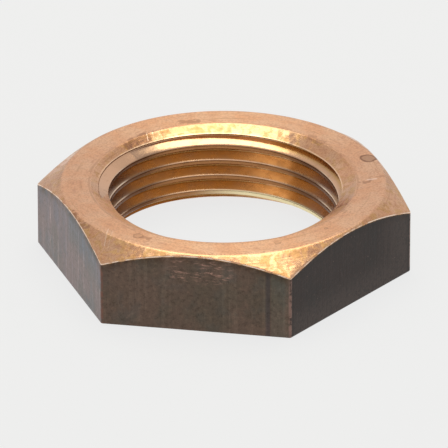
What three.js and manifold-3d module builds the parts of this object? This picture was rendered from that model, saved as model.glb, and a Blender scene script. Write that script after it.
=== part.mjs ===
// Hexagonal pipe locknut (backnut) with an internal G 3/4 right-hand thread.
// Units are millimetres and +Z is up. The origin is the centre of the flat bearing face, and two of the
// hexagon's corners lie on the X axis. The upper face carries the turned chamfer.

import * as THREE from 'three';
import { mergeVertices } from 'three/addons/utils/BufferGeometryUtils.js';
import Module from 'manifold-3d';

const wasm = await Module();
wasm.setup();

// ---- Driving dimensions -------------------------------------------------------------------------

// Hexagonal body
const ACROSS_FLATS = 35.0;
const HEIGHT = 8.9;
const CORNER_ROUND = 0.3; // radius left on the six upright edges of the drawn bar

// Turned chamfer on the upper face only
const UPPER_FLAT_DIAMETER = 34.5;
const CHAMFER_ANGLE = 33; // degrees below horizontal

// G 3/4 thread, 14 turns to the inch, 55 degree Whitworth flanks
const PITCH = 25.4 / 14;
const PITCH_DIAMETER = 25.279;
const BORE_DIAMETER = 24.4; // thread crests, cut back to a narrow land by the drilled bore
const ROOT_DIAMETER = 26.7;
const FLANK_ANGLE = 27.5; // degrees, between a flank and a plane across the axis
const GROOVE_START = 0.108; // height of the groove's middle on the X axis above the bearing face, in pitches

// Countersinks at both ends of the bore
const COUNTERSINK_DIAMETER = 28.45;
const COUNTERSINK_ANGLE = 60; // degrees from the axis

// Fineness of the curved surfaces
const ROUND_SEGMENTS = 84;
const THREAD_SEGMENTS = 84; // steps in one turn of the thread
const CORNER_SEGMENTS = 3;

// ---- Derived sizes ------------------------------------------------------------------------------

const CORNER_RADIUS = ACROSS_FLATS / Math.sqrt(3);
const FLANK_SLOPE = Math.tan(THREE.MathUtils.degToRad(FLANK_ANGLE));
const CHAMFER_SLOPE = Math.tan(THREE.MathUtils.degToRad(CHAMFER_ANGLE));
const COUNTERSINK_SLOPE = Math.tan(THREE.MathUtils.degToRad(COUNTERSINK_ANGLE));
const OVERRUN = 1; // how far the cutting bodies run past the surfaces that they cut
const MERGE_DISTANCE = 1e-4;
const GROOVE_OVERLAP = 0.3; // how far the thread groove's cutting body reaches inside the bore

// ---- From geometry to solid and back -------------------------------------------------------------

function toSolid(geometry) {
  const bare = geometry.clone();
  bare.deleteAttribute('normal');
  bare.deleteAttribute('uv');
  const merged = mergeVertices(bare, MERGE_DISTANCE);
  const mesh = new wasm.Mesh({
    numProp: 3,
    vertProperties: new Float32Array(merged.attributes.position.array),
    triVerts: new Uint32Array(merged.index.array),
  });
  return new wasm.Manifold(mesh);
}

function toGeometry(solid) {
  const mesh = solid.getMesh();
  const geometry = new THREE.BufferGeometry();
  geometry.setAttribute('position', new THREE.BufferAttribute(mesh.vertProperties, 3));
  geometry.setIndex(new THREE.BufferAttribute(mesh.triVerts, 1));
  geometry.computeVertexNormals();
  return geometry;
}

// A solid of revolution about Z. The outline is a list of [radius, height] that starts and ends on the axis.
function revolve(outline) {
  const points = outline.map(([radius, height]) => new THREE.Vector2(radius, height));
  return new THREE.LatheGeometry(points, ROUND_SEGMENTS).rotateX(Math.PI / 2);
}

// ---- Hexagonal bar ---------------------------------------------------------------------------------

// The hexagon with each corner replaced by a tangent arc.
function hexagonOutline() {
  const arcCentreRadius = CORNER_RADIUS - CORNER_ROUND / Math.cos(Math.PI / 6);
  const shape = new THREE.Shape();
  for (let corner = 0; corner < 6; corner++) {
    const direction = corner * Math.PI / 3;
    const x = arcCentreRadius * Math.cos(direction);
    const y = arcCentreRadius * Math.sin(direction);
    shape.absarc(x, y, CORNER_ROUND, direction - Math.PI / 6, direction + Math.PI / 6, false);
  }
  return shape;
}

function hexagonalBar() {
  return new THREE.ExtrudeGeometry(hexagonOutline(), {
    depth: HEIGHT,
    curveSegments: CORNER_SEGMENTS,
    bevelEnabled: false,
  });
}

// ---- Turned envelope: everything under the upper face and its chamfer ---------------------------------

function turnedEnvelope() {
  const outerRadius = CORNER_RADIUS + OVERRUN;
  const upperRadius = UPPER_FLAT_DIAMETER / 2;
  const outerHeight = HEIGHT - (outerRadius - upperRadius) * CHAMFER_SLOPE;
  return revolve([
    [0, -OVERRUN],
    [outerRadius, -OVERRUN],
    [outerRadius, outerHeight],
    [upperRadius, HEIGHT],
    [0, HEIGHT],
  ]);
}

// ---- Bore with a countersink at each end ----------------------------------------------------------------

function countersunkBore() {
  const boreRadius = BORE_DIAMETER / 2;
  const mouthRadius = COUNTERSINK_DIAMETER / 2;
  const depth = (mouthRadius - boreRadius) / COUNTERSINK_SLOPE;
  const flaredRadius = mouthRadius + OVERRUN * COUNTERSINK_SLOPE;
  return revolve([
    [0, -OVERRUN],
    [flaredRadius, -OVERRUN],
    [boreRadius, depth],
    [boreRadius, HEIGHT - depth],
    [flaredRadius, HEIGHT + OVERRUN],
    [0, HEIGHT + OVERRUN],
  ]);
}

// ---- Thread groove -------------------------------------------------------------------------------------

// Half the height of the groove at a given radius.
function grooveHalfHeight(radius) {
  return PITCH / 4 + (PITCH_DIAMETER / 2 - radius) * FLANK_SLOPE;
}

// The groove's section: x is the radius and y the height from the middle of the groove.
function grooveSection() {
  const innerRadius = BORE_DIAMETER / 2 - GROOVE_OVERLAP;
  const rootRadius = ROOT_DIAMETER / 2;
  const inner = grooveHalfHeight(innerRadius);
  const root = grooveHalfHeight(rootRadius);
  return new THREE.Shape([
    new THREE.Vector2(innerRadius, -inner),
    new THREE.Vector2(rootRadius, -root),
    new THREE.Vector2(rootRadius, root),
    new THREE.Vector2(innerRadius, inner),
  ]);
}

// The section extruded straight, one unit to a turn, and then wound down a right-hand helix.
function threadGroove() {
  const turns = Math.ceil(HEIGHT / PITCH) + 2;
  const topHeight = (turns - 1 + GROOVE_START) * PITCH;
  const geometry = new THREE.ExtrudeGeometry(grooveSection(), {
    depth: turns,
    steps: turns * THREAD_SEGMENTS,
    bevelEnabled: false,
  });
  const position = geometry.attributes.position;
  for (let i = 0; i < position.count; i++) {
    const radius = position.getX(i);
    const turn = position.getZ(i);
    const angle = -2 * Math.PI * turn;
    const height = topHeight + position.getY(i) - turn * PITCH;
    position.setXYZ(i, radius * Math.cos(angle), radius * Math.sin(angle), height);
  }
  return geometry;
}

// ---- Locknut -----------------------------------------------------------------------------------------------

function locknut() {
  const blank = toSolid(hexagonalBar()).intersect(toSolid(turnedEnvelope()));
  const threaded = blank.subtract(toSolid(countersunkBore())).subtract(toSolid(threadGroove()));
  const brass = new THREE.MeshStandardMaterial({ color: 0xc8905f, roughness: 0.38, metalness: 1.0 });
  const mesh = new THREE.Mesh(toGeometry(threaded), brass);
  mesh.name = 'hex_locknut';
  return mesh;
}

const part = new THREE.Group();
part.add(locknut());

export default part;
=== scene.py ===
"""Hexagonal pipe locknut in turned bronze, on a pale floor under soft studio light.

Lengths are in millimetres in the nut's own frame, with +Z up, two corners of the hexagon on the X axis
and the origin in the middle of the bearing face. The mesh is scaled to metres when it is made.
"""

import math

import bpy
import numpy as np
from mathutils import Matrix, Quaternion, Vector

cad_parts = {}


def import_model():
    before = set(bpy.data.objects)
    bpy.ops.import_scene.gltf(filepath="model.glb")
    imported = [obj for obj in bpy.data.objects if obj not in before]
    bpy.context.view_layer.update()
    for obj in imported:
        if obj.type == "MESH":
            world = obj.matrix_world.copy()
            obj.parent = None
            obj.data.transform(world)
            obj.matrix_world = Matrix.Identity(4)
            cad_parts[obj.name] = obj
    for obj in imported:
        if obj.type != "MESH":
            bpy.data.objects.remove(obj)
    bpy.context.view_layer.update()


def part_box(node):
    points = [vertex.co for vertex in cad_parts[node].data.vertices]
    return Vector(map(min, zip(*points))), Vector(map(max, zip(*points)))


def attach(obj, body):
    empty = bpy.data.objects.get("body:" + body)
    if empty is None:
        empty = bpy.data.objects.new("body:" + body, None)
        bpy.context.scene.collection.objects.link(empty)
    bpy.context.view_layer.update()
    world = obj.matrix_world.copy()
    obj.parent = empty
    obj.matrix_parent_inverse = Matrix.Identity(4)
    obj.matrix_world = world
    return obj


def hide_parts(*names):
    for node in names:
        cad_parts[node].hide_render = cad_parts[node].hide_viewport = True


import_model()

METRES = 0.001

# ---- Dimensions --------------------------------------------------------------------------------------

nut_low, nut_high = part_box("hex_locknut")
ACROSS_FLATS = (nut_high.y - nut_low.y) / METRES
HEIGHT = (nut_high.z - nut_low.z) / METRES
WALL = ACROSS_FLATS / 2  # from the axis to a flat
CORNER_ROUND = 0.3
CORNER_ARC_CENTRE = ACROSS_FLATS / math.sqrt(3) - CORNER_ROUND / math.cos(math.pi / 6)
CORNER_TIP = CORNER_ARC_CENTRE + CORNER_ROUND

UPPER_FLAT_RADIUS = 17.25
CHAMFER_ANGLE = math.radians(33)

PITCH = 25.4 / 14
PITCH_RADIUS = 12.6395
CREST_RADIUS = 12.2
ROOT_RADIUS = 13.35
FLANK_ANGLE = math.radians(27.5)
GROOVE_START = 0.108  # height of the groove's middle on the X axis, in pitches
ROOT_HALF_WIDTH = PITCH / 4 - (ROOT_RADIUS - PITCH_RADIUS) * math.tan(FLANK_ANGLE)
CREST_HALF_WIDTH = PITCH / 4 - (PITCH_RADIUS - CREST_RADIUS) * math.tan(FLANK_ANGLE)

MOUTH_RADIUS = 14.225  # of the countersink, on both faces
COUNTERSINK_ANGLE = math.radians(30)  # between the countersink and the face

# Small rounds that the tools leave on the edges
FOOT_ROUND = 0.10
WALL_EDGE_ROUND = 0.08
UPPER_EDGE_ROUND = 0.14
MOUTH_ROUND = 0.06
CREST_ROUND = 0.15
ROOT_ROUND = 0.08

# Fineness of the mesh
CORNER_STEPS = 3
SIDE_STEPS = 60
WALL_ROWS = 44
CHAMFER_ROWS = 10
FLAT_ROWS = 12
ROUND_STEPS = 3
CREST_STEPS = 4
FLANK_STEPS = 4
SHARP_ANGLE = math.radians(32)  # edges sharper than this stay crisp

# The material of each face, as the number of its slot
TURNED, THREAD, SKIN = 0, 1, 2


# ---- Mesh: one ring of columns round the axis, each a closed section of rows -------------------------

def hexagon_columns():
    """Angle and radius of each column on the hexagon with rounded corners, from 0 to 360 degrees."""
    turn = np.linspace(0, math.pi / 6, CORNER_STEPS + 1)
    x = CORNER_ARC_CENTRE + CORNER_ROUND * np.cos(turn)
    y = CORNER_ROUND * np.sin(turn)
    arc_angle, arc_radius = np.arctan2(y, x), np.hypot(x, y)
    side_angle = np.linspace(arc_angle[-1], math.pi / 3 - arc_angle[-1], SIDE_STEPS + 1)[1:-1]
    side_radius = WALL / np.cos(side_angle - math.pi / 6)
    angle = np.concatenate([arc_angle, side_angle, math.pi / 3 - arc_angle[:0:-1]])
    radius = np.concatenate([arc_radius, side_radius, arc_radius[:0:-1]])
    angles = np.concatenate([angle + side * math.pi / 3 for side in range(6)] + [[2 * math.pi]])
    return angles, np.concatenate([np.tile(radius, 6), arc_radius[:1]])


def rounded(before, corner, after, steps=ROUND_STEPS):
    """Points on a curve from before to after that is tangent to both lines through corner."""
    t = np.linspace(0, 1, steps + 1)
    return [(1 - s) ** 2 * before + 2 * s * (1 - s) * corner + s * s * after for s in t]


def straight(start, end, steps):
    """The points between start and end, without either."""
    return [start + (end - start) * k / steps for k in range(1, steps)]


def outside_rows(radius):
    """Rows of [radius, height] from the bottom mouth, outwards, up the wall and in to the top mouth."""
    def point(r, z):
        return np.stack(np.broadcast_arrays(np.asarray(r, float), np.asarray(z, float), radius)[:2], 1)

    slope = np.array([math.cos(CHAMFER_ANGLE), -math.sin(CHAMFER_ANGLE)])
    wall_top = HEIGHT - (radius - UPPER_FLAT_RADIUS) * math.tan(CHAMFER_ANGLE)
    mouth_in = MOUTH_ROUND * math.cos(COUNTERSINK_ANGLE)
    mouth_drop = MOUTH_ROUND * math.sin(COUNTERSINK_ANGLE)

    bottom_mouth = rounded(point(MOUTH_RADIUS - mouth_in, mouth_drop), point(MOUTH_RADIUS, 0),
                           point(MOUTH_RADIUS + MOUTH_ROUND, 0))
    foot = rounded(point(radius - FOOT_ROUND, 0), point(radius, 0), point(radius, FOOT_ROUND))
    wall_edge = rounded(point(radius, wall_top - WALL_EDGE_ROUND), point(radius, wall_top),
                        point(radius, wall_top) - slope * WALL_EDGE_ROUND)
    upper_edge = rounded(point(UPPER_FLAT_RADIUS, HEIGHT) + slope * UPPER_EDGE_ROUND,
                         point(UPPER_FLAT_RADIUS, HEIGHT),
                         point(UPPER_FLAT_RADIUS - UPPER_EDGE_ROUND, HEIGHT))
    top_mouth = rounded(point(MOUTH_RADIUS + MOUTH_ROUND, HEIGHT), point(MOUTH_RADIUS, HEIGHT),
                        point(MOUTH_RADIUS - mouth_in, HEIGHT - mouth_drop))

    rows, kinds = [], []
    for part, kind in (
        (bottom_mouth, TURNED),
        (straight(bottom_mouth[-1], foot[0], FLAT_ROWS), TURNED),
        (foot, SKIN),
        (straight(foot[-1], wall_edge[0], WALL_ROWS), SKIN),
        (wall_edge, TURNED),
        (straight(wall_edge[-1], upper_edge[0], CHAMFER_ROWS), TURNED),
        (upper_edge, TURNED),
        (straight(upper_edge[-1], top_mouth[0], FLAT_ROWS), TURNED),
        (top_mouth, TURNED),
    ):
        rows += part
        kinds += [kind] * len(part)
    return np.stack(rows, 1), kinds


def thread_profile():
    """Offsets above the groove's middle and radii of the thread, for one pitch."""
    root_corner = np.array([ROOT_HALF_WIDTH, ROOT_RADIUS])
    crest_corner = np.array([PITCH / 2 - CREST_HALF_WIDTH, CREST_RADIUS])
    flank = (crest_corner - root_corner) / np.linalg.norm(crest_corner - root_corner)
    along = np.array([1.0, 0.0])
    root = rounded(root_corner - along * ROOT_ROUND, root_corner, root_corner + flank * ROOT_ROUND)
    crest = rounded(crest_corner - flank * CREST_ROUND, crest_corner, crest_corner + along * CREST_ROUND,
                    CREST_STEPS)
    half = [np.array([0.0, ROOT_RADIUS])] + root + straight(root[-1], crest[0], FLANK_STEPS) + crest
    half = np.array(half)
    middle = np.array([[PITCH / 2, CREST_RADIUS]])
    mirrored = half[:0:-1] * [-1, 1] + [PITCH, 0]
    return np.concatenate([half, middle, mirrored])


def bore_rows(angles, low, high):
    """Rows that follow the helix up the bore, and over the countersinks at its ends.

    Gives the points, which of them lie beyond heights low and high, which are on the lip between the
    thread and a countersink, how far the countersink lies outside the thread, and the rows in a pitch.
    """
    profile = thread_profile()
    per_pitch = len(profile)
    pitches_below = 2  # that the rows start under the bearing face
    turns = math.ceil(HEIGHT / PITCH) + pitches_below
    start = (angles / (2 * math.pi) + GROOVE_START - pitches_below)[:, None] * PITCH
    pitches = np.repeat(np.arange(turns + 1), per_pitch)[None] * PITCH
    z = start + pitches + np.tile(profile[:, 0], turns + 1)[None]
    thread = np.tile(profile[:, 1], turns + 1)[None] + 0 * z
    wrapped_offset = np.append(profile[:, 0], PITCH)
    wrapped_radius = np.append(profile[:, 1], profile[0, 1])

    def cone(height):
        return MOUTH_RADIUS - np.minimum(height, HEIGHT - height) / math.tan(COUNTERSINK_ANGLE)

    gap = thread - cone(z)
    change = np.sign(gap[:, 1:]) != np.sign(gap[:, :-1])
    share = np.where(change, gap[:, :-1] / np.where(change, gap[:, :-1] - gap[:, 1:], 1), 0)
    crossing = z[:, :-1] + share * (z[:, 1:] - z[:, :-1])
    lip = np.zeros(z.shape, bool)
    for column, row in zip(*np.nonzero(change)):
        nearest = row + int(share[column, row] > 0.5)
        z[column, nearest] = crossing[column, row]
        lip[column, nearest] = True
    offset = np.mod(z - (angles / (2 * math.pi) + GROOVE_START)[:, None] * PITCH, PITCH)
    thread = np.interp(offset, wrapped_offset, wrapped_radius)
    radius = np.maximum(thread, cone(z))
    return np.stack([radius, z], 2), z <= low, z >= high, lip, cone(z) - thread, per_pitch


def locknut_mesh():
    """The nut's points, its faces, and the material of each face."""
    angles, hexagon = hexagon_columns()
    outside, kinds = outside_rows(hexagon)
    low, high = outside[0, 0, 1], outside[0, -1, 1]
    bore, below, above, lip, outside_thread, per_pitch = bore_rows(angles, low, high)

    columns = len(angles) - 1
    outer_count, bore_count = outside.shape[1], bore.shape[1]
    section = np.concatenate([outside, bore], 1)[:columns]
    total = outer_count + bore_count
    cos, sin = np.cos(angles[:columns])[:, None], np.sin(angles[:columns])[:, None]
    points = np.stack([section[:, :, 0] * cos, section[:, :, 0] * sin, section[:, :, 1]], 2)

    # The number of each point, on one column more than there are: the last is the first again, and there
    # the rows of the bore are one pitch further on.
    number = np.arange(columns)[:, None] * total + np.arange(total)[None]
    bore_number = number[:, outer_count:].copy()
    bore_number[below[:columns]] = np.broadcast_to(number[:, :1], bore_number.shape)[below[:columns]]
    top = np.broadcast_to(number[:, outer_count - 1:outer_count], bore_number.shape)
    bore_number[above[:columns]] = top[above[:columns]]
    first = np.full(bore_count, number[0, outer_count - 1])
    first[:-per_pitch] = bore_number[0, per_pitch:]
    bore_number = np.concatenate([bore_number, first[None]])
    lip = np.concatenate([lip[:columns], np.roll(lip[:1], -per_pitch, 1)])
    outer_number = np.concatenate([number[:, :outer_count], number[:1, :outer_count]])

    faces, materials = [], []

    def add(ids, kind):
        kept = [v for k, v in enumerate(ids) if v != ids[k - 1]]
        if len(kept) >= 3 and len(set(kept)) == len(kept):
            faces.append(kept)
            materials.append(kind)

    for c in range(columns):
        for r in range(outer_count - 1):
            here, beside = outer_number[c], outer_number[c + 1]
            add([here[r], beside[r], beside[r + 1], here[r + 1]], kinds[r])
        for r in range(bore_count - 1):
            here, beside = bore_number[c], bore_number[c + 1]
            ids = [here[r + 1], beside[r + 1], beside[r], here[r]]
            if len(set(ids)) < 3:
                continue
            kind = TURNED if outside_thread[c:c + 2, r:r + 2].sum() > 0 else THREAD
            if lip[c, r + 1] and lip[c + 1, r]:
                add([ids[0], ids[1], ids[2]], kind)
                add([ids[0], ids[2], ids[3]], kind)
            elif lip[c + 1, r + 1] and lip[c, r]:
                add([ids[0], ids[1], ids[3]], kind)
                add([ids[1], ids[2], ids[3]], kind)
            else:
                add(ids, kind)
    return points.reshape(-1, 3), faces, materials


def make_mesh(name, points, faces, materials):
    """A mesh in metres of the points that the faces use."""
    used = np.zeros(len(points), bool)
    used[np.concatenate(faces)] = True
    renumber = np.cumsum(used) - 1
    mesh = bpy.data.meshes.new(name)
    mesh.from_pydata((points[used] * METRES).tolist(), [], [renumber[f].tolist() for f in faces])
    mesh.polygons.foreach_set("material_index", materials)
    mesh.polygons.foreach_set("use_smooth", [True] * len(faces))
    mesh.update()
    mesh.set_sharp_from_angle(angle=SHARP_ANGLE)
    return mesh


# ---- Materials ---------------------------------------------------------------------------------------

class Nodes:
    """Builds a material's nodes. Each call makes a node, links or sets its inputs and gives its output."""

    def __init__(self, name):
        self.material = bpy.data.materials.new(name)
        self.material.use_nodes = True
        self.tree = self.material.node_tree
        self.tree.nodes.clear()
        position = self.add("ShaderNodeTexCoord", output="Object")
        self.place = self.add("ShaderNodeVectorMath", {0: position, "Scale": 1 / METRES}, operation="SCALE")
        split = self.tree.nodes.new("ShaderNodeSeparateXYZ")
        self.tree.links.new(self.place, split.inputs[0])
        self.x, self.y, self.z = split.outputs
        flat = self.vector(self.x, self.y, 0.0)
        self.radius = self.add("ShaderNodeVectorMath", {0: flat}, operation="LENGTH", output="Value")
        self.angle = self.maths("ARCTAN2", self.y, self.x)

    def add(self, kind, inputs=(), output=0, **settings):
        """The output of a new node, with its inputs linked to sockets or set to values."""
        node = self.tree.nodes.new(kind)
        for key, value in settings.items():
            setattr(node, key, value)
        for key, value in dict(inputs).items():
            if isinstance(value, bpy.types.NodeSocket):
                self.tree.links.new(value, node.inputs[key])
            else:
                node.inputs[key].default_value = value
        return node.outputs[output]

    def maths(self, operation, *values):
        return self.add("ShaderNodeMath", dict(enumerate(values)), operation=operation)

    def vector(self, x, y, z):
        return self.add("ShaderNodeCombineXYZ", {0: x, 1: y, 2: z})

    def stretched(self, x, y, z):
        """The place in millimetres, with each axis multiplied."""
        return self.add("ShaderNodeVectorMath", {0: self.place, 1: (x, y, z)}, operation="MULTIPLY")

    def noise(self, place, scale=1.0, detail=2.0, roughness=0.5, distortion=0.0):
        return self.add("ShaderNodeTexNoise", {
            "Vector": place, "Scale": scale, "Detail": detail,
            "Roughness": roughness, "Distortion": distortion})

    def span(self, value, start, stop, low=0.0, high=1.0):
        """Value eased from low to high as it goes from start to stop."""
        return self.add("ShaderNodeMapRange", {
            "Value": value, "From Min": start, "From Max": stop, "To Min": low, "To Max": high},
            interpolation_type="SMOOTHSTEP")

    def blend(self, share, first, second):
        """A colour between first and second."""
        colours = [c if isinstance(c, bpy.types.NodeSocket) else (*c, 1) for c in (first, second)]
        return self.add("ShaderNodeMix", {0: share, 6: colours[0], 7: colours[1]}, output=2, data_type="RGBA")

    def number(self, share, first, second):
        """A number between first and second."""
        return self.add("ShaderNodeMix", {0: share, 2: first, 3: second}, data_type="FLOAT")

    def scaled(self, colour, red, green, blue):
        """A colour with each channel multiplied."""
        return self.add("ShaderNodeVectorMath", {0: colour, 1: (red, green, blue)}, operation="MULTIPLY")

    def both(self, *masks):
        """A mask that is 1 where all of them are."""
        product = masks[0]
        for mask in masks[1:]:
            product = self.maths("MULTIPLY", product, mask)
        return product

    def bump(self, height, distance, normal=None):
        """The normal of a surface that height lifts by up to a distance in millimetres."""
        inputs = {"Height": height, "Distance": distance * METRES, "Strength": 1.0}
        if normal:
            inputs["Normal"] = normal
        return self.add("ShaderNodeBump", inputs)

    def either(self, first, second):
        """A mask that is 1 where one of them is."""
        return self.maths("MAXIMUM", first, second)

    def towards(self, degrees):
        """How far a place lies from the axis in a direction in plan."""
        direction = (math.cos(math.radians(degrees)), math.sin(math.radians(degrees)), 0)
        inputs = {0: self.place, 1: direction}
        return self.add("ShaderNodeVectorMath", inputs, operation="DOT_PRODUCT", output="Value")

    def upward(self):
        """How far the surface faces up, from -1 to 1."""
        inputs = {0: self.add("ShaderNodeNewGeometry", output="Normal"), 1: (0, 0, 1)}
        return self.add("ShaderNodeVectorMath", inputs, operation="DOT_PRODUCT", output="Value")

    def distance_to(self, x, y, z, wobble=0.0):
        """Distance in millimetres from a point, with an uneven outline."""
        place = self.place
        if wobble:
            shift = self.add("ShaderNodeTexNoise", {"Vector": place, "Scale": 1.3}, output="Color")
            shift = self.add("ShaderNodeVectorMath", {0: shift, 1: (0.5, 0.5, 0.5)}, operation="SUBTRACT")
            shift = self.add("ShaderNodeVectorMath", {0: shift, "Scale": wobble}, operation="SCALE")
            place = self.add("ShaderNodeVectorMath", {0: place, 1: shift}, operation="ADD")
        inputs = {0: place, 1: (x, y, z)}
        return self.add("ShaderNodeVectorMath", inputs, operation="DISTANCE", output="Value")

    def distance_to_stroke(self, ends, wobble=0.0):
        """Distance in millimetres, in plan, from the line between two points, with an uneven outline."""
        x, y, to_x, to_y = ends
        length = math.hypot(to_x - x, to_y - y)
        along_x, along_y = (to_x - x) / length, (to_y - y) / length
        place_x, place_y = self.maths("SUBTRACT", self.x, x), self.maths("SUBTRACT", self.y, y)
        along = self.maths("ADD", self.maths("MULTIPLY", place_x, along_x),
                           self.maths("MULTIPLY", place_y, along_y))
        along = self.maths("MINIMUM", self.maths("MAXIMUM", along, 0.0), length)
        side_x = self.maths("SUBTRACT", place_x, self.maths("MULTIPLY", along, along_x))
        side_y = self.maths("SUBTRACT", place_y, self.maths("MULTIPLY", along, along_y))
        side = {0: self.vector(side_x, side_y, 0.0)}
        away = self.add("ShaderNodeVectorMath", side, operation="LENGTH", output="Value")
        if wobble:
            shift = self.span(self.noise(self.place, 1.5, 3), 0.3, 0.7, -wobble, wobble)
            away = self.maths("ADD", away, shift)
        return away

    def turn(self):
        """The angle round the axis from the X axis, from 0 to a full turn."""
        return self.maths("MODULO", self.maths("ADD", self.angle, 2 * math.pi), 2 * math.pi)

    def rise(self, turn):
        """The height above a helix with the thread's pitch that starts at the origin."""
        return self.maths("SUBTRACT", self.z, self.maths("MULTIPLY", turn, PITCH / (2 * math.pi)))

    def around(self, radial, turning, upright=1.0):
        """A place in rings round the axis, with the radius, the angle and the height multiplied."""
        height = self.maths("MULTIPLY", self.z, upright) if upright else 0.0
        return self.vector(self.maths("MULTIPLY", self.radius, radial),
                           self.maths("MULTIPLY", self.angle, turning), height)

    def finish(self, **inputs):
        """The material, with a shader that has these inputs."""
        named = {key.replace("_", " "): value for key, value in inputs.items()}
        shader = self.add("ShaderNodeBsdfPrincipled", named)
        output = self.tree.nodes.new("ShaderNodeOutputMaterial")
        self.tree.links.new(shader, output.inputs["Surface"])
        return self.material


# Colours of the metal and of what is on it, in linear light, with painted highlights and painted shade among
# them
BRONZE, PALE_BRONZE = (0.80, 0.43, 0.25), (0.82, 0.49, 0.31)
WORN_BRONZE_AND_HIGHLIGHT = (1.0, 0.76, 0.60)
BURNISHED_BRONZE_AND_HIGHLIGHT = (1.0, 0.66, 0.44)
MOUTH_LINE = (0.48, 0.25, 0.14)
OIL_ARC, OIL_BLOT = (0.52, 0.28, 0.15), (0.58, 0.28, 0.17)
STAIN, STAIN_RIM = (0.46, 0.25, 0.15), (0.27, 0.12, 0.065)
DRIED_OIL = (0.40, 0.19, 0.11)
SCRATCH = (0.98, 0.72, 0.58)

FLANK, TARNISHED_FLANK = (0.65, 0.38, 0.16), (0.60, 0.37, 0.20)
SHADED_GROOVE_ROOT = (0.50, 0.27, 0.09)
PAINTED_GLOW = (1.0, 0.66, 0.36)
LIT_FAR_LAND, SHADED_SIDE_LAND = (0.38, 0.175, 0.07), (0.16, 0.070, 0.032)
FAR_CREST_HIGHLIGHT, SHADED_CREST_EDGE, SIDE_CREST_HIGHLIGHT = (0.95, 0.60, 0.38), (0.30, 0.17, 0.105), (1.0, 0.80, 0.62)
LAST_CREST_HIGHLIGHT = (1.0, 0.88, 0.54)
OPEN_FLANK, OPEN_FLANK_SMUDGE, SHADED_GROOVE = (0.76, 0.45, 0.28), (0.38, 0.24, 0.17), (0.60, 0.34, 0.14)

SKIN_WORN_BY_CHAMFER = (0.52, 0.28, 0.11)
SKIN_WORN_AT_CORNER, SKIN_WORN_AT_RIGHT_CORNER = (0.19, 0.085, 0.060), (0.34, 0.23, 0.19)
SKIN_RUBBED, SKIN_SPECK = (0.36, 0.20, 0.145), (0.30, 0.19, 0.14)
SKIN_FADED, SKIN_FADED_SPECK = (0.056, 0.038, 0.030), (0.040, 0.026, 0.022)

# Colour of the skin on each flat, by the direction that it faces in degrees; painted light and shade make
# some flats lighter and others darker
FLAT_TONES_LIT_AND_SHADED = (
    (30, (0.060, 0.042, 0.030)),
    (90, (0.026, 0.017, 0.012)),
    (150, (0.095, 0.072, 0.060)),
    (210, (0.232, 0.172, 0.162)),
    (270, (0.112, 0.068, 0.045)),
    (330, (0.020, 0.0095, 0.006)),
)

# Stains left by drops on the upper face: centre, radius of the ring, how dark the ring and the inside are
DROP_STAINS = (
    (14.40, 8.18, 0.78, 0.90, 0.75),
    (-6.75, -14.00, 0.50, 0.50, 0.45),
    (7.95, -13.20, 0.30, 0.50, 0.40),
    (12.47, -8.97, 0.22, 0.50, 0.50),
    (13.69, -4.61, 0.35, 0.30, 0.30),
    (-15.9, -2.6, 0.45, 0.20, 0.10),
)

# Strokes across the upper side: start and end, width, and how strong
OIL_STROKES = (
    (14.70, 2.55, 15.30, 2.85, 0.34, 0.65),
    (15.20, 3.80, 16.30, 4.15, 0.26, 0.40),
    (-6.20, -14.20, -5.30, -14.45, 0.30, 0.60),
    (-6.90, 13.50, -5.20, 13.95, 0.45, 0.60),
    (-11.30, 7.60, -10.20, 9.60, 1.00, 0.85),
    (9.00, 11.00, 7.60, 12.30, 0.60, 0.40),
    (-18.60, -3.40, -17.20, -5.60, 0.30, 0.50),
    (-14.60, -9.60, -14.00, -10.60, 0.28, 0.70),
    (-13.60, -11.30, -12.60, -12.60, 0.22, 0.60),
)
SCRATCHES = (
    (15.10, 3.10, 15.90, 3.48, 0.20, 0.6),
    (-10.10, -12.9, -10.10, -15.4, 0.05, 0.7),
    (-9.55, -13.31, -9.63, -15.82, 0.04, 0.4),
    (-10.14, 10.25, -9.80, 9.30, 0.06, 0.8),
    (-9.60, 10.60, -9.30, 10.00, 0.05, 0.7),
    (-14.20, -11.60, -13.30, -11.50, 0.06, 0.5),
)

SMUDGE_PLACE = (-10.05, 7.95, 7.6)  # on the open flank

FAR_SIDE = 99.6  # direction in degrees in which the thread is painted brightest
TOP_GROOVE = 4  # pitches from the groove at GROOVE_START up to the topmost one


def oil_marks(n, colour):
    """The colour with thin arcs and blots where cutting oil dried in the turning marks."""
    arcs = n.span(n.noise(n.around(1.9, 1.3), 1.0, 2, 0.5, 0.4), 0.58, 0.70, 0.0, 0.50)
    colour = n.blend(arcs, colour, OIL_ARC)
    blots = n.span(n.noise(n.around(1.6, 9.0), 1.0, 3, 0.7), 0.54, 0.68, 0.0, 0.50)
    return n.blend(blots, colour, OIL_BLOT)


def stains(n, colour):
    """The colour with the drop stains, strokes of dried oil and scratches on the upper side."""
    for x, y, ring, rim_depth, depth in DROP_STAINS:
        away = n.distance_to(x, y, HEIGHT, 0.5)
        inside = n.span(away, ring * 1.05, ring * 0.80, 0.0, depth)
        rim = n.both(n.span(away, ring * 1.25, ring * 1.05),
                     n.span(away, ring * 0.75, ring * 0.98, 0.0, rim_depth))
        colour = n.blend(rim, n.blend(inside, colour, STAIN), STAIN_RIM)
    upper = n.span(n.z, HEIGHT * 0.55, HEIGHT * 0.65)
    for strokes, tone, wobble in ((OIL_STROKES, DRIED_OIL, 0.30), (SCRATCHES, SCRATCH, 0.0)):
        for *ends, width, strength in strokes:
            away = n.distance_to_stroke(ends, wobble)
            stroke = n.both(upper, n.span(away, width, width * 0.45, 0.0, strength))
            colour = n.blend(stroke, colour, tone)
    return colour


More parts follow.
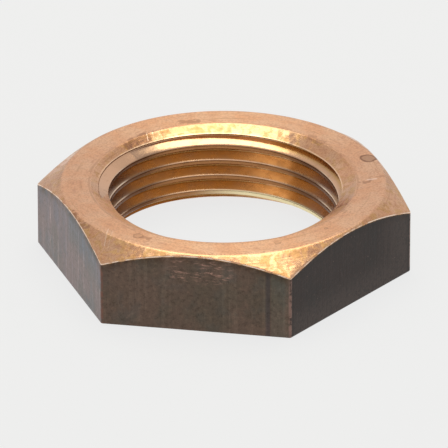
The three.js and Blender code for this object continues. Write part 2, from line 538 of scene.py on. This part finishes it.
def lip_of_countersink(n):
    """A mask for the lip that the upper countersink leaves above the topmost groove, which climbs."""
    flank_slope, cone_slope = 1 / math.tan(FLANK_ANGLE), 1 / math.tan(COUNTERSINK_ANGLE)
    groove_edge = (GROOVE_START + TOP_GROOVE) * PITCH + ROOT_HALF_WIDTH
    start = ROOT_RADIUS - MOUTH_RADIUS + HEIGHT * cone_slope + groove_edge * flank_slope
    start /= flank_slope + cone_slope
    gain = PITCH / (2 * math.pi) * flank_slope / (flank_slope + cone_slope)
    turn = n.turn()
    above = n.maths("SUBTRACT", n.z, n.maths("ADD", n.maths("MULTIPLY", turn, gain), start))
    return n.both(n.span(above, 0.10, 0.03), n.span(above, -0.06, -0.02),
                  n.span(n.radius, MOUTH_RADIUS, MOUTH_RADIUS - 0.3),
                  n.span(turn, 3.3, 2.9), n.span(turn, 0.0, 0.3))


def turned_bronze():
    """The turned faces, chamfer and countersinks."""
    n = Nodes("turned_bronze")
    patches = n.noise(n.place, 0.35, 3, 0.6)
    grain = n.noise(n.place, 4.4, 3, 0.7)
    colour = n.blend(n.span(patches, 0.35, 0.65), BRONZE, PALE_BRONZE)
    colour = n.blend(n.span(grain, 0.56, 0.36, 0.0, 0.75), colour, n.scaled(colour, 0.76, 0.70, 0.66))
    colour = stains(n, oil_marks(n, colour))

    # The tools left the slopes smoother than the flats, and unevenly so
    level = n.maths("ABSOLUTE", n.maths("SUBTRACT", n.z, HEIGHT / 2))
    slope = n.span(level, HEIGHT / 2 - 0.02, HEIGHT / 2 - 0.09)
    uneven = n.noise(n.place, 1.0, 2, 0.5, 0.8)
    yellower = n.both(slope, n.span(uneven, 0.48, 0.64, 0.0, 0.5))
    # Painted shade: the slopes' colour is made a little darker than the flats'
    colour = n.blend(slope, colour, n.scaled(colour, 0.94, 0.92, 0.89))
    colour = n.blend(yellower, colour, n.scaled(colour, 0.80, 0.82, 0.46))

    # Edges: worn bright in places between the chamfer and the flats, with a painted highlight there,
    # burnished with a painted highlight at the lip, brown at the mouth
    edge = n.both(n.span(n.upward(), 0.80, 0.62), slope,
                  n.span(n.radius, UPPER_FLAT_RADIUS - 0.25, UPPER_FLAT_RADIUS + 0.05),
                  n.span(n.noise(n.place, 0.8, 3, 0.6), 0.38, 0.56))
    colour = n.blend(edge, colour, WORN_BRONZE_AND_HIGHLIGHT)
    # The lip is burnished, with a painted highlight along it
    lip = n.both(lip_of_countersink(n), slope)
    colour = n.blend(n.maths("MULTIPLY", lip, 0.85), colour, BURNISHED_BRONZE_AND_HIGHLIGHT)
    mouth = n.both(n.span(n.radius, MOUTH_RADIUS - 0.02, MOUTH_RADIUS + 0.06),
                   n.span(n.radius, MOUTH_RADIUS + 0.30, MOUTH_RADIUS + 0.12),
                   n.span(patches, 0.38, 0.55, 0.1, 0.5))
    colour = n.blend(mouth, colour, MOUTH_LINE)

    rings = n.noise(n.around(5.5, 0.6, 0), 1.0, 2)
    bump = n.bump(rings, 0.010)
    bump = n.bump(n.noise(n.place, 1.3, 1, 0.4), 0.030, normal=bump)
    flat_roughness = n.span(grain, 0.25, 0.8, 0.30, 0.42)
    slope_roughness = n.span(uneven, 0.40, 0.66, 0.19, 0.34)
    front_cone = n.both(n.span(n.y, -2.0, -6.0), n.span(n.radius, MOUTH_RADIUS + 0.375, MOUTH_RADIUS + 0.075))
    slope_roughness = n.number(front_cone, slope_roughness, 0.50)
    roughness = n.number(slope, flat_roughness, slope_roughness)
    tangent = n.add("ShaderNodeTangent", direction_type="RADIAL", axis="Z")
    return n.finish(Base_Color=colour, Roughness=roughness, Metallic=1.0, Normal=bump,
                    Anisotropic=0.55, Anisotropic_Rotation=0.25, Tangent=tangent)


def crests(n, colour, far):
    """The colour with the thread's lands and their upper edges, with painted light and shade: lands lit on
    the far side and shaded at the sides, and painted highlights on the edges.
    """
    land = n.span(n.radius, CREST_RADIUS + 0.12, CREST_RADIUS + 0.03)
    colour = n.blend(land, colour, n.blend(n.span(far, 11.2, 8.5), LIT_FAR_LAND, SHADED_SIDE_LAND))
    # Painted highlights along the crests' upper edges, painted darker where they turn away
    edge = n.both(n.span(n.radius, CREST_RADIUS + 0.17, CREST_RADIUS + 0.10), n.span(n.upward(), 0.35, 0.60))
    colour = n.blend(edge, colour, n.blend(n.span(far, 11.6, 9.4), FAR_CREST_HIGHLIGHT, SHADED_CREST_EDGE))
    side = n.either(n.span(n.x, 8.5, 10.0), n.span(n.x, -11.0, -11.8))
    colour = n.blend(n.both(edge, n.span(far, 8.5, 6.5), side), colour, SIDE_CREST_HIGHLIGHT)

    # Painted highlight: the last crest is painted pale on the far side
    last = n.both(land, n.span(n.z, 2.2, 1.8), n.span(n.angle, 0.45, 0.75),
                  n.span(n.angle, 2.1, 1.5, 0.0, 0.9))
    return n.blend(last, colour, LAST_CREST_HIGHLIGHT)


def thread_bronze():
    """The thread, browner than the turned faces."""
    n = Nodes("thread_bronze")
    tarnish = n.noise(n.stretched(0.5, 0.5, 1.2), 1.0, 3, 0.6)
    colour = n.blend(n.span(tarnish, 0.35, 0.65), FLANK, TARNISHED_FLANK)
    # Painted shade: the groove's root is darker
    colour = n.blend(n.span(n.radius, ROOT_RADIUS - 0.25, ROOT_RADIUS - 0.02), colour, SHADED_GROOVE_ROOT)

    # Painted light and shade: the far side is painted bright gold and the sides darker and duller
    far = n.towards(FAR_SIDE)
    shaded_sides = n.blend(n.span(n.x, 0.0, 6.0), n.scaled(colour, 0.62, 0.64, 0.85),
                   n.scaled(colour, 0.82, 0.86, 1.20))
    colour = n.blend(n.span(far, 10.8, 5.5), colour, shaded_sides)
    # Painted glow: a patch of warm reflected light painted on the flanks
    glow = n.both(n.span(n.angle, 1.10, 1.20), n.span(n.angle, 1.75, 1.30, 0.0, 0.95),
                  n.span(n.noise(n.stretched(0.6, 0.6, 1.4), 1.0, 2), 0.35, 0.60, 0.45, 1.0))
    colour = n.blend(glow, colour, PAINTED_GLOW)
    colour = crests(n, colour, far)

    # The topmost flank, which the countersink leaves open, is as bright as the countersink
    turn = n.turn()
    flank_foot = (GROOVE_START + TOP_GROOVE - 0.5) * PITCH + CREST_HALF_WIDTH
    above_crest = n.maths("SUBTRACT", n.rise(turn), flank_foot)
    flank_top = n.number(n.span(turn, 1.45, 1.05), n.span(above_crest, 0.68, 0.60),
                         n.span(above_crest, 0.60, 0.0))
    open_flank = n.both(n.span(above_crest, -0.05, 0.08), flank_top,
                        n.span(turn, 0.0, 0.5), n.span(turn, 3.8, 3.4))
    colour = n.blend(open_flank, colour, OPEN_FLANK)
    smudge = n.both(open_flank, n.span(n.distance_to(*SMUDGE_PLACE, 1.4), 2.0, 1.3, 0.0, 0.65))
    colour = n.blend(smudge, colour, OPEN_FLANK_SMUDGE)
    shaded = n.both(n.span(turn, 1.50, 1.10), n.span(turn, 0.0, 0.35), n.span(above_crest, 0.12, 0.36))
    colour = n.blend(shaded, colour, SHADED_GROOVE)

    smears = n.vector(n.maths("MULTIPLY", n.angle, 9.0), n.maths("MULTIPLY", n.z, 0.7), n.radius)
    smears = n.noise(smears, 1.0, 3, 0.6)
    colour = n.blend(n.span(smears, 0.45, 0.30, 0.0, 0.5), colour, n.scaled(colour, 0.70, 0.66, 0.60))
    bump = n.bump(n.noise(n.place, 1.6, 2, 0.5), 0.008)
    roughness = n.number(open_flank, n.span(smears, 0.3, 0.7, 0.24, 0.32), 0.19)
    return n.finish(Base_Color=colour, Roughness=roughness, Metallic=1.0, Normal=bump)


def below_chamfer(n):
    """How far a place on the wall lies below the chamfer's surface."""
    drop = n.maths("MULTIPLY", n.maths("SUBTRACT", n.radius, UPPER_FLAT_RADIUS), math.tan(CHAMFER_ANGLE))
    return n.maths("SUBTRACT", n.maths("SUBTRACT", HEIGHT, n.z), drop)


def mottled(n, colour, mottle):
    """The skin's colour with its patches, darker and paler mottles, and the die's lines along the bar."""
    patches = n.noise(n.place, 0.22, 4, 0.6)
    greyed = n.noise(n.stretched(0.45, 0.45, 0.30), 1.0, 3, 0.6)
    lines = n.noise(n.stretched(1.7, 1.7, 0.05), 1.0, 3, 0.6)
    colour = n.blend(n.span(patches, 0.42, 0.62, 0.0, 0.7), colour, n.scaled(colour, 0.75, 0.90, 0.85))
    colour = n.blend(n.span(greyed, 0.48, 0.66, 0.0, 0.6), colour, n.scaled(colour, 0.80, 0.98, 1.15))
    colour = n.blend(n.span(mottle, 0.50, 0.32), colour, n.scaled(colour, 0.66, 0.62, 0.56))
    colour = n.blend(n.span(mottle, 0.50, 0.72), colour, n.scaled(colour, 1.4, 1.4, 1.4))
    colour = n.blend(n.span(lines, 0.50, 0.68, 0.0, 0.35), colour, n.scaled(colour, 1.6, 1.7, 1.8))

    # The left flat has more pale streaks, and a painted blue-grey reflection towards the chamfer
    on_left = n.span(n.x, -8, -11)
    streak = n.both(n.span(n.noise(n.stretched(4, 4, 0.04), 1.0, 1), 0.64, 0.72, 0.0, 0.8),
                    n.span(n.noise(n.stretched(1, 1, 0.30), 1.0, 2), 0.46, 0.60),
                    n.maths("ADD", on_left, 0.25))
    colour = n.blend(streak, colour, n.scaled(colour, 2.2, 2.1, 2.1))
    painted_blue_reflection = n.both(on_left, n.span(below_chamfer(n), 4.5, 0.5), n.span(patches, 0.35, 0.60, 0.3, 1.0))
    colour = n.blend(painted_blue_reflection, colour, n.scaled(colour, 0.85, 1.02, 1.20))

    # The right flat is paler and browner low down and towards its far corner
    on_right = n.both(n.span(n.x, 10.0, 10.6), n.span(n.y, -0.2, -0.8))
    faded = n.both(on_right, n.either(n.span(n.z, 4.0, 0.8), n.span(n.x, 17.0, 19.6)),
                   n.span(mottle, 0.35, 0.62, 0.25, 1.0))
    colour = n.blend(faded, colour, SKIN_FADED)
    return n.blend(n.both(on_right, n.span(mottle, 0.52, 0.66, 0.0, 0.8)), colour, SKIN_FADED_SPECK)


def drawn_skin():
    """The dark oxide skin of the drawn bar, with die lines along it and bronze where it is rubbed."""
    n = Nodes("drawn_skin")
    colour = (0.03, 0.02, 0.015)
    # Each flat gets its own tone, with painted light and shade in it
    for direction, tone in FLAT_TONES_LIT_AND_SHADED:
        colour = n.blend(n.span(n.towards(direction), WALL - 0.12, WALL - 0.02), colour, tone)
    mottle = n.noise(n.place, 2.6, 4, 0.75)
    colour = mottled(n, colour, mottle)

    # The front flat has a dark line and a paler strip near its right corner, and a rubbed patch
    on_front = n.span(n.towards(270), WALL - 0.5, WALL - 0.1)
    strip = n.both(on_front, n.span(n.x, 7.95, 8.10), n.span(n.x, 9.7, 9.3))
    shade = n.both(on_front, n.span(n.x, 7.3, 7.6), n.span(n.x, 8.0, 7.85))
    rub = n.noise(n.stretched(0.9, 1.0, 4.2), 1.0, 4, 0.7, 0.6)
    rubbed = n.both(on_front, n.span(n.x, -3.6, -1.6), n.span(n.x, 4.6, 2.6), n.span(n.z, 5.2, 6.4),
                    n.span(n.z, 8.5, 7.9), n.span(rub, 0.53, 0.63, 0.0, 0.9))
    colour = n.blend(strip, colour, n.scaled(colour, 1.0, 1.16, 1.22))
    colour = n.blend(shade, colour, n.scaled(colour, 0.62, 0.66, 0.85))

    # Wear: browner under the chamfer, and bronze along its edge and on the upright corners
    broken = n.noise(n.place, 2.2, 3, 0.65)
    under_chamfer = n.both(n.span(below_chamfer(n), 1.3, 0.1),
                           n.span(n.noise(n.place, 0.9, 4, 0.7), 0.36, 0.58, 0.2, 0.9))
    chamfer_wear = n.both(n.span(below_chamfer(n), 0.22, 0.03), n.span(broken, 0.40, 0.58))
    corner_wear = n.both(n.span(n.radius, CORNER_TIP - 0.10, CORNER_TIP - 0.01),
                         n.span(broken, 0.36, 0.60, 0.10, 0.85))
    corner_tone = n.blend(n.span(n.x, 8, 12), SKIN_WORN_AT_CORNER, SKIN_WORN_AT_RIGHT_CORNER)
    specks = n.span(n.noise(n.place, 3.6, 1, 0.5), 0.74, 0.80, 0.0, 0.35)
    colour = n.blend(under_chamfer, colour, n.scaled(colour, 0.55, 0.38, 0.18))
    colour = n.blend(rubbed, colour, SKIN_RUBBED)
    colour = n.blend(specks, colour, SKIN_SPECK)
    colour = n.blend(corner_wear, colour, corner_tone)
    colour = n.blend(chamfer_wear, colour, SKIN_WORN_BY_CHAMFER)
    metal = n.either(chamfer_wear, n.maths("MULTIPLY", corner_wear, 0.5))

    bump = n.bump(n.noise(n.stretched(4, 4, 0.10), 1.0, 3), 0.016)
    bump = n.bump(mottle, 0.020, normal=bump)
    roughness = n.span(mottle, 0.3, 0.75, 0.36, 0.50)
    return n.finish(Base_Color=colour, Roughness=roughness, Metallic=metal, Normal=bump,
                    Specular_IOR_Level=0.30)


# ---- The nut -----------------------------------------------------------------------------------------

points, faces, materials = locknut_mesh()
nut = bpy.data.objects.new("locknut", make_mesh("locknut", points, faces, materials))
bpy.context.scene.collection.objects.link(nut)
for make_material in (turned_bronze, thread_bronze, drawn_skin):
    nut.data.materials.append(make_material())
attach(nut, "root")
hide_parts("hex_locknut")


# ---- Floor, light and camera, in metres --------------------------------------------------------------

FLOOR_SIZE = 6.0
FLOOR_GLOW = 0.775
SKY_STRENGTH = 0.64

CAMERA_AZIMUTH = math.radians(9.586)
CAMERA_ELEVATION = math.radians(26.841)
CAMERA_DISTANCE = 0.9175
CAMERA_TARGET = Vector((-0.0002, 0.00155, 0.00309))
LENS = 689.2  # mm
SENSOR_WIDTH = 36  # mm


def floor():
    """A pale floor at the height of the bearing face. It glows, so that shadows on it stay faint."""
    half = FLOOR_SIZE / 2
    mesh = bpy.data.meshes.new("floor")
    corners = [(-half, -half, 0), (half, -half, 0), (half, half, 0), (-half, half, 0)]
    mesh.from_pydata(corners, [], [(0, 1, 2, 3)])
    n = Nodes("pale_floor")
    paper = n.noise(n.place, 0.02, 2)
    mesh.materials.append(n.finish(
        Base_Color=n.blend(paper, (0.078, 0.078, 0.078), (0.082, 0.082, 0.082)), Roughness=1.0,
        Specular_IOR_Level=0.0, Emission_Color=(1, 1, 1, 1), Emission_Strength=FLOOR_GLOW))
    made = bpy.data.objects.new("floor", mesh)
    bpy.context.scene.collection.objects.link(made)


def from_camera(right, away, up):
    """A point in metres, given to the right of, away from and above the nut as the camera sees it."""
    a = CAMERA_AZIMUTH
    return Vector((right * math.cos(a) - away * math.sin(a), right * math.sin(a) + away * math.cos(a), up))


def softbox(name, right, away, up, width, depth, radiance, colour, target, turn=0.0):
    """A rectangle of even light that faces the target, turned on its own axis."""
    light = bpy.data.lights.new(name, "AREA")
    light.shape = "RECTANGLE"
    light.size = width
    light.size_y = depth
    light.energy = radiance * math.pi * width * depth
    light.color = colour
    lamp = bpy.data.objects.new(name, light)
    bpy.context.scene.collection.objects.link(lamp)
    lamp.location = from_camera(right, away, up)
    lamp.rotation_mode = "QUATERNION"
    direction = from_camera(*target) - lamp.location
    lamp.rotation_quaternion = direction.to_track_quat("-Z", "Y") @ Quaternion((0, 0, 1), turn)


def camera():
    """A camera with a long lens, aimed near the middle of the nut."""
    back = from_camera(0, -math.cos(CAMERA_ELEVATION), math.sin(CAMERA_ELEVATION))
    data = bpy.data.cameras.new("camera")
    data.lens = LENS
    data.sensor_width = SENSOR_WIDTH
    made = bpy.data.objects.new("camera", data)
    bpy.context.scene.collection.objects.link(made)
    made.location = CAMERA_TARGET + back * CAMERA_DISTANCE
    made.rotation_mode = "QUATERNION"
    made.rotation_quaternion = (-back).to_track_quat("-Z", "Y")
    bpy.context.scene.camera = made


def world():
    """An even white sky."""
    made = bpy.data.worlds.new("studio")
    made.use_nodes = True
    background = made.node_tree.nodes["Background"]
    background.inputs["Color"].default_value = (1, 1, 1, 1)
    background.inputs["Strength"].default_value = SKY_STRENGTH
    bpy.context.scene.world = made


floor()
world()
softbox("overhead_softbox", right=0.027, away=0.222, up=0.6, width=0.462, depth=0.48, radiance=2.9,
        colour=(1, 1, 0.75), target=(0.027, 0.222, 0), turn=math.radians(-6))
softbox("rear_panel", right=0, away=1.2, up=0.6, width=1.9, depth=0.6, radiance=0.13,
        colour=(1, 0.98, 1), target=(0, 0, 0))
camera()
bpy.context.scene.view_settings.view_transform = "Standard"
